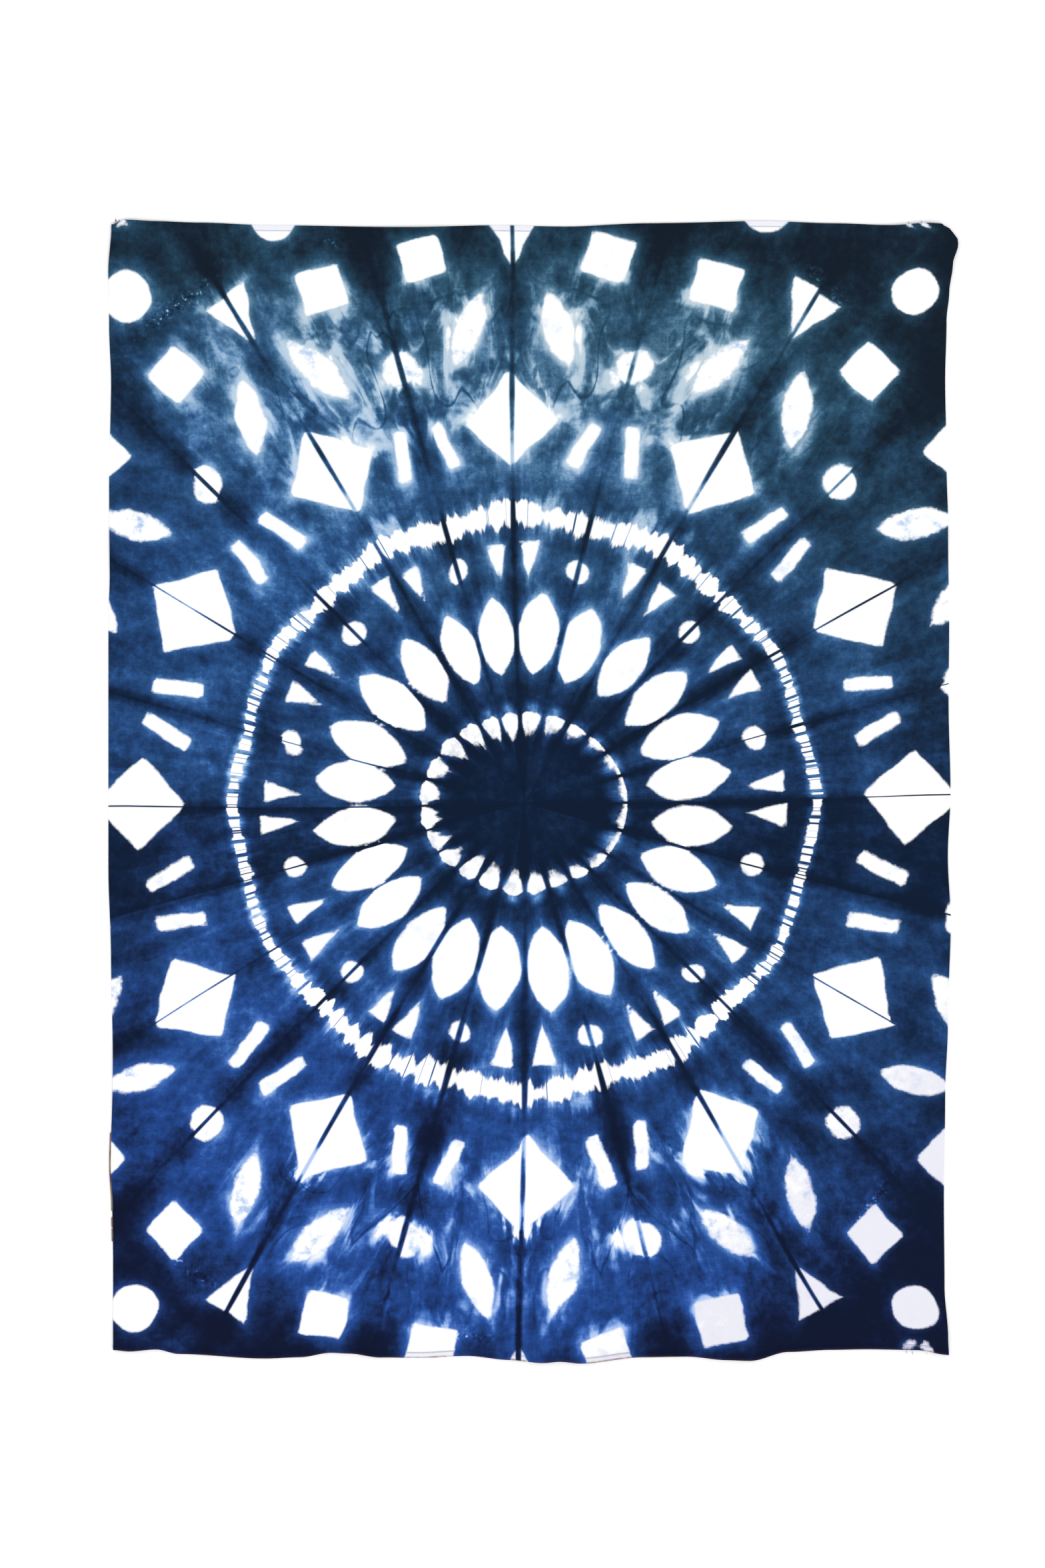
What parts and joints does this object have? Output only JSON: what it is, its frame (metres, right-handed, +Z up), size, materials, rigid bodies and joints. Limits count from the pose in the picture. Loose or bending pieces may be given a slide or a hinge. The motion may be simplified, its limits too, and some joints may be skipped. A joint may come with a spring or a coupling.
{
  "type": "resist-dyed cotton cloth",
  "caption": "Indigo resist-dyed cotton cloth, one hemmed panel lying flat and face up with the low creases of its folding, for use as a throw, cover or hanging.",
  "frame": {"origin": "on the resting surface, under the middle of the cloth's outline", "axes": "+Y to the cloth's top edge, +X to its right edge, +Z up out of its dyed face"},
  "size_m": [1.1562, 1.5554, 0.0061],
  "materials": {
    "dyed_cotton": "matt plain-weave cotton, dyed blue with undyed white marks"
  },
  "bodies": {
    "root": {"cloth": "dyed_cotton"}
  },
  "joints": []
}
